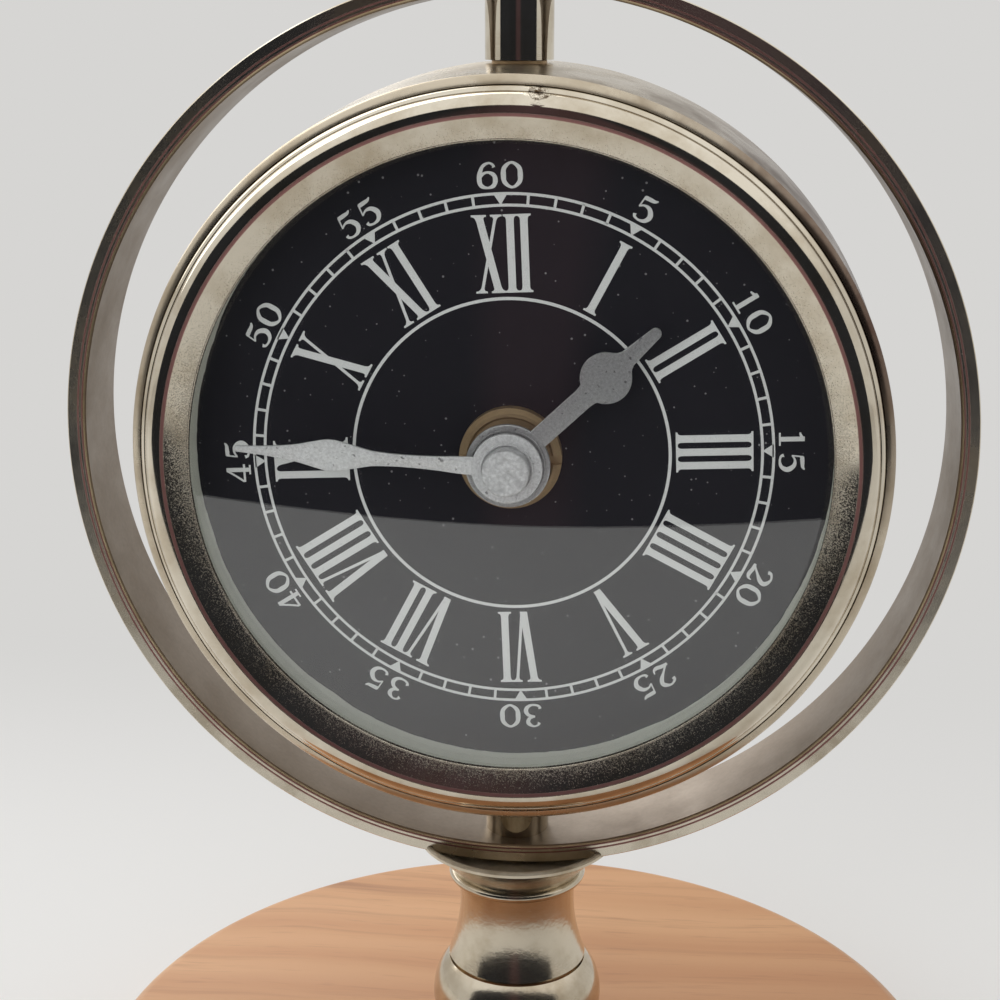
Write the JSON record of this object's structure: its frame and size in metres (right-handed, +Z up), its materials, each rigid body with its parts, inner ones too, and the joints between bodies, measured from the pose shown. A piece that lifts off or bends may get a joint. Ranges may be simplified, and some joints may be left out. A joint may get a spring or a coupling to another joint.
{
  "type": "table clock",
  "caption": "Round table clock whose drum swivels inside a flat metal hoop on a turned column and a round wooden base, with a black dial, domed glass and a battery movement.",
  "frame": {"origin": "middle of the underside, on the surface that the clock stands on", "axes": "+Z up along the column; the dial faces -Y; +X is the viewer's right"},
  "size_m": [0.1116, 0.1116, 0.1578],
  "materials": {
    "felt": "pressed wool felt, dark green",
    "base_wood": "light reddish-brown hardwood, satin varnish",
    "plain_steel": "plain zinc-plated steel",
    "nickel": "polished nickel plate on brass, slightly warm",
    "brass": "plain turned brass",
    "clear_glass": "clear domed glass",
    "pale_ring": "pale greenish cream plastic",
    "dial_black": "black lacquer with light-grey print",
    "black_rubber": "black rubber",
    "black_plastic": "black moulded plastic",
    "white_plastic": "natural moulded acetal",
    "board_green": "green circuit board",
    "coil_copper": "enamelled copper winding",
    "cell_wrap": "plain dark wrapped cell",
    "hand_grey": "light-grey powder-coated sheet metal",
    "magnet_grey": "sintered magnet"
  },
  "bodies": {
    "stand": {"base_felt_pad": "felt", "base_disc": "base_wood", "base_washer": "plain_steel", "base_nut": "plain_steel", "tie_rod": "plain_steel", "column_foot": "nickel", "column_neck": "nickel", "column_cup": "nickel", "hoop": "nickel", "lower_post": "nickel", "upper_post": "nickel", "top_screw": "nickel"},
    "head": {"drum_shell": "nickel", "upper_bush": "brass", "lower_bush": "brass", "bezel": "nickel", "glass": "clear_glass", "spacer_ring": "pale_ring", "dial_plate": "dial_black", "dial_washer": "black_rubber", "dial_nut": "brass", "movement_front_case": "black_plastic", "movement_rear_case": "black_plastic", "train_bridge": "white_plastic", "circuit_board": "board_green", "quartz_crystal": "plain_steel", "stator": "plain_steel", "coil": "coil_copper", "positive_contact": "plain_steel", "negative_contact": "plain_steel", "battery_cell": "cell_wrap"},
    "cover": {"rear_cover": "nickel"},
    "minute_group": {"minute_hand": "hand_grey", "hand_cap": "hand_grey", "minute_arbor": "brass"},
    "hour_group": {"hour_hand": "hand_grey", "hour_wheel": "white_plastic"},
    "minute_wheel": {"minute_wheel": "white_plastic"},
    "setting_knob": {"setting_knob": "black_plastic"},
    "rotor": {"rotor": "magnet_grey"},
    "intermediate_wheel": {"intermediate_wheel": "white_plastic"},
    "seconds_wheel": {"seconds_wheel": "white_plastic"},
    "third_wheel": {"third_wheel": "white_plastic"},
    "centre_wheel": {"centre_wheel": "white_plastic"}
  },
  "joints": [
    {"name": "drum_swivel", "type": "hinge", "parent": "stand", "child": "head", "pos_m": [0, 0, 0.1014], "axis": [0, 0, 1], "continuous": true},
    {"name": "minute_hand_turn", "type": "hinge", "parent": "head", "child": "minute_group", "pos_m": [0, 0, 0.1014], "axis": [0, 1, 0], "continuous": true},
    {"name": "hour_hand_turn", "type": "hinge", "parent": "head", "child": "hour_group", "pos_m": [0, 0, 0.1014], "axis": [0, 1, 0], "continuous": true},
    {"name": "minute_wheel_turn", "type": "hinge", "parent": "head", "child": "minute_wheel", "pos_m": [0.00679, 0, 0.10819], "axis": [0, 1, 0], "continuous": true},
    {"name": "setting_knob_turn", "type": "hinge", "parent": "head", "child": "setting_knob", "pos_m": [0.01581, 0, 0.1049], "axis": [0, 1, 0], "continuous": true},
    {"name": "seconds_wheel_turn", "type": "hinge", "parent": "head", "child": "seconds_wheel", "pos_m": [-0.00754, 0, 0.11446], "axis": [0, 1, 0], "continuous": true},
    {"name": "rotor_turn", "type": "hinge", "parent": "head", "child": "rotor", "pos_m": [0.00239, 0, 0.11908], "axis": [0, 1, 0], "continuous": true},
    {"name": "intermediate_wheel_turn", "type": "hinge", "parent": "head", "child": "intermediate_wheel", "pos_m": [-0.00228, 0, 0.11638], "axis": [0, 1, 0], "continuous": true},
    {"name": "third_wheel_turn", "type": "hinge", "parent": "head", "child": "third_wheel", "pos_m": [-0.00636, 0, 0.10776], "axis": [0, 1, 0], "continuous": true},
    {"name": "centre_wheel_turn", "type": "hinge", "parent": "head", "child": "centre_wheel", "pos_m": [0, 0, 0.1014], "axis": [0, 1, 0], "continuous": true},
    {"name": "rear_cover_pull", "type": "slide", "parent": "head", "child": "cover", "axis": [0, 1, 0], "range_m": [0, 0.012]}
  ],
  "couplings": [
    {"joint": "hour_hand_turn", "follows": "minute_hand_turn", "ratio": 0.083333},
    {"joint": "minute_wheel_turn", "follows": "minute_hand_turn", "ratio": -0.33333},
    {"joint": "setting_knob_turn", "follows": "minute_hand_turn", "ratio": 1},
    {"joint": "intermediate_wheel_turn", "follows": "rotor_turn", "ratio": -0.2},
    {"joint": "seconds_wheel_turn", "follows": "rotor_turn", "ratio": 0.033333},
    {"joint": "third_wheel_turn", "follows": "rotor_turn", "ratio": -0.0044444},
    {"joint": "centre_wheel_turn", "follows": "rotor_turn", "ratio": 0.00055556}
  ]
}
